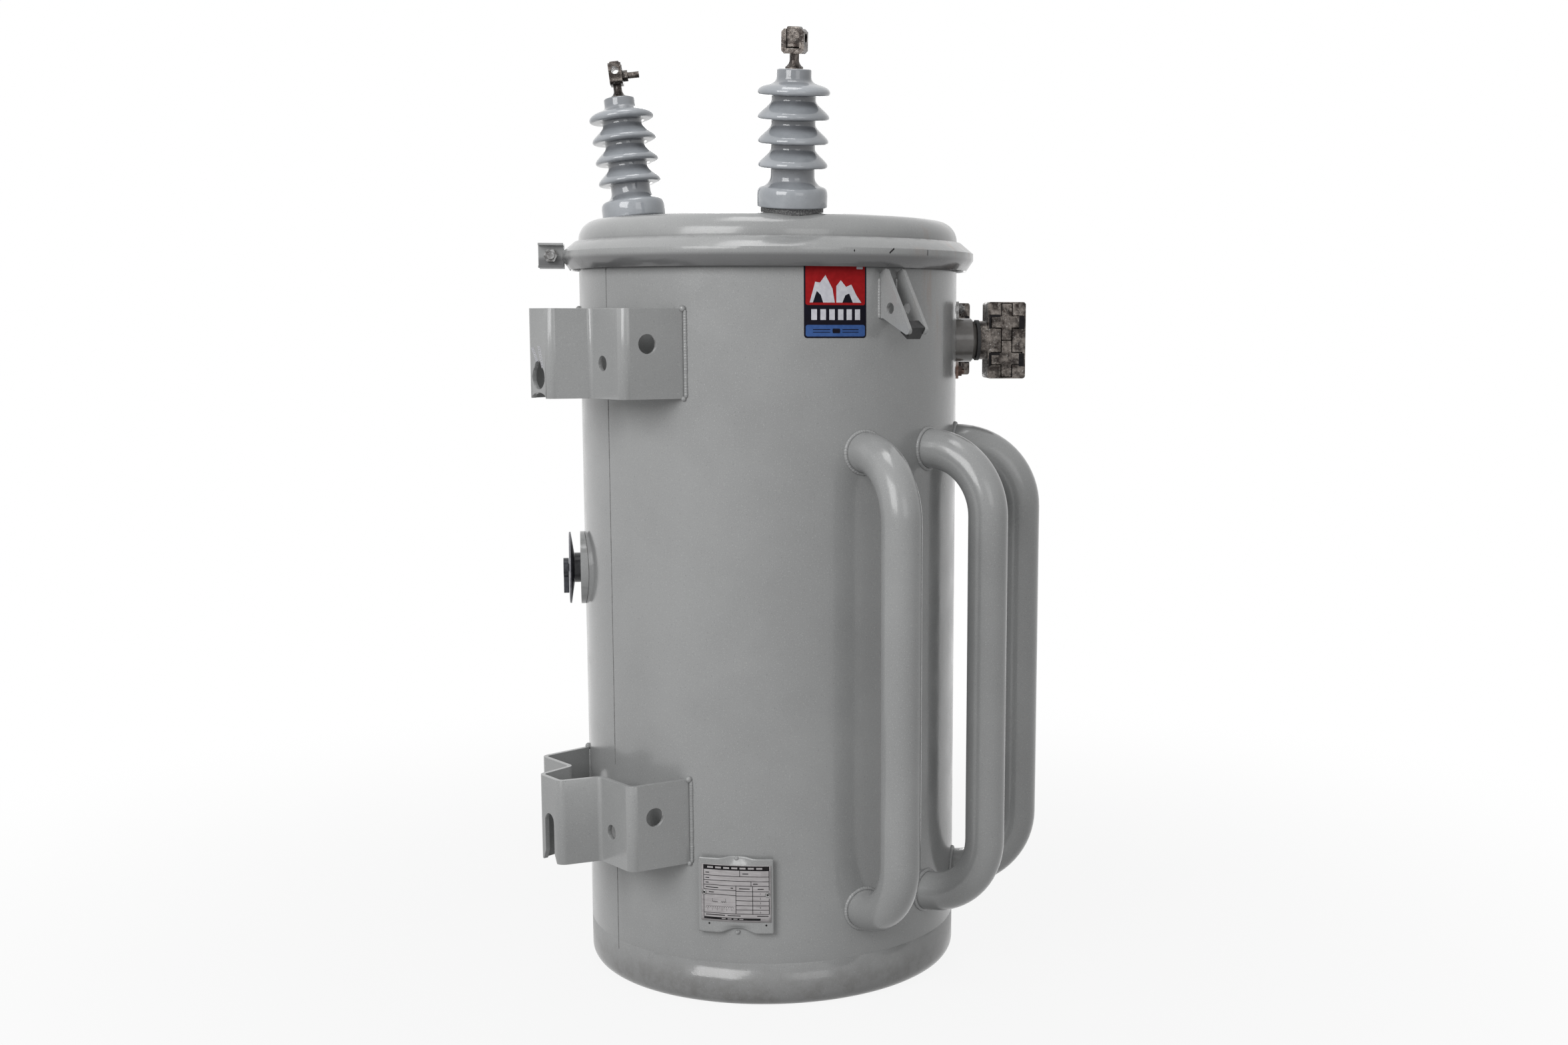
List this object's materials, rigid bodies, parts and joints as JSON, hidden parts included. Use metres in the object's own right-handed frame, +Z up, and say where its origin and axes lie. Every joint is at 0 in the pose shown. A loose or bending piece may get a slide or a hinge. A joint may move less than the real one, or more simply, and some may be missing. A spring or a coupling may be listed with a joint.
{
  "type": "pole mounted transformer",
  "caption": "Pole mounted distribution transformer: round painted tank with clamped domed cover, cover bushings, side bushings with connectors, cooling tubes, hanger brackets and tap changer.",
  "frame": {"origin": "centre of the flat tank base, on the tank axis", "axes": "+Z up along the tank axis, -X towards the pole, +X towards the middle low-voltage bushing"},
  "size_m": [0.7011, 0.7256, 1.247],
  "materials": {
    "tank_paint": "light gray enamel with a fine orange-peel texture",
    "porcelain": "blue-gray glaze, glossy",
    "tinned_metal": "tin-plated casting, rough and slightly pink",
    "dark_ring": "dark gray painted clamp ring",
    "black_rubber": "matt black",
    "bushing_gray": "gray moulded body",
    "steel_hardware": "zinc-plated bolts with light rust",
    "label_metal": "printed aluminium plate",
    "black_plastic": "black moulded",
    "core_fill": null
  },
  "bodies": {
    "tank": {"cooling_tube_1": "tank_paint", "cooling_tube_2": "tank_paint", "cooling_tube_3": "tank_paint", "cooling_tube_4": "tank_paint", "cooling_tube_5": "tank_paint", "cooling_tube_6": "tank_paint", "core_and_oil": "core_fill", "cover_band": "tank_paint", "cover_band_bolt": "steel_hardware", "cover_gasket": "black_rubber", "hv_bushing_1_clamp_bolt": "tinned_metal", "hv_bushing_1_foot_ring": "dark_ring", "hv_bushing_1_porcelain": "porcelain", "hv_bushing_1_terminal": "tinned_metal", "hv_bushing_2_clamp_bolt": "tinned_metal", "hv_bushing_2_foot_ring": "dark_ring", "hv_bushing_2_porcelain": "porcelain", "hv_bushing_2_terminal": "tinned_metal", "lifting_lug_1_ears": "tank_paint", "lifting_lug_1_pad": "black_rubber", "lifting_lug_2_ears": "tank_paint", "lifting_lug_2_pad": "black_rubber", "lower_hanger_bracket": "tank_paint", "lv_bushing_1_body": "bushing_gray", "lv_bushing_1_connector": "tinned_metal", "lv_bushing_1_flange": "steel_hardware", "lv_bushing_1_gasket": "black_rubber", "lv_bushing_1_keepers": "tinned_metal", "lv_bushing_2_body": "bushing_gray", "lv_bushing_2_connector": "tinned_metal", "lv_bushing_2_flange": "steel_hardware", "lv_bushing_2_gasket": "black_rubber", "lv_bushing_2_keepers": "tinned_metal", "lv_bushing_3_body": "bushing_gray", "lv_bushing_3_connector": "tinned_metal", "lv_bushing_3_flange": "steel_hardware", "lv_bushing_3_gasket": "black_rubber", "lv_bushing_3_keepers": "tinned_metal", "nameplate": "label_metal", "nameplate_backing": "tank_paint", "tank_bottom": "tank_paint", "tank_cover": "tank_paint", "tank_shell": "tank_paint", "tap_changer_boss": "tank_paint", "tap_changer_dial": "black_plastic", "tap_changer_hub": "black_plastic", "upper_hanger_bracket": "tank_paint"},
    "tap_handle": {"tap_changer_handle": "black_plastic"}
  },
  "joints": [
    {"name": "tap_handle_turn", "type": "hinge", "parent": "tank", "child": "tap_handle", "pos_m": [-0.24001, 0.14421, 0.543], "axis": [-0.8572, 0.515, 0], "range_deg": [-60, 60]}
  ]
}
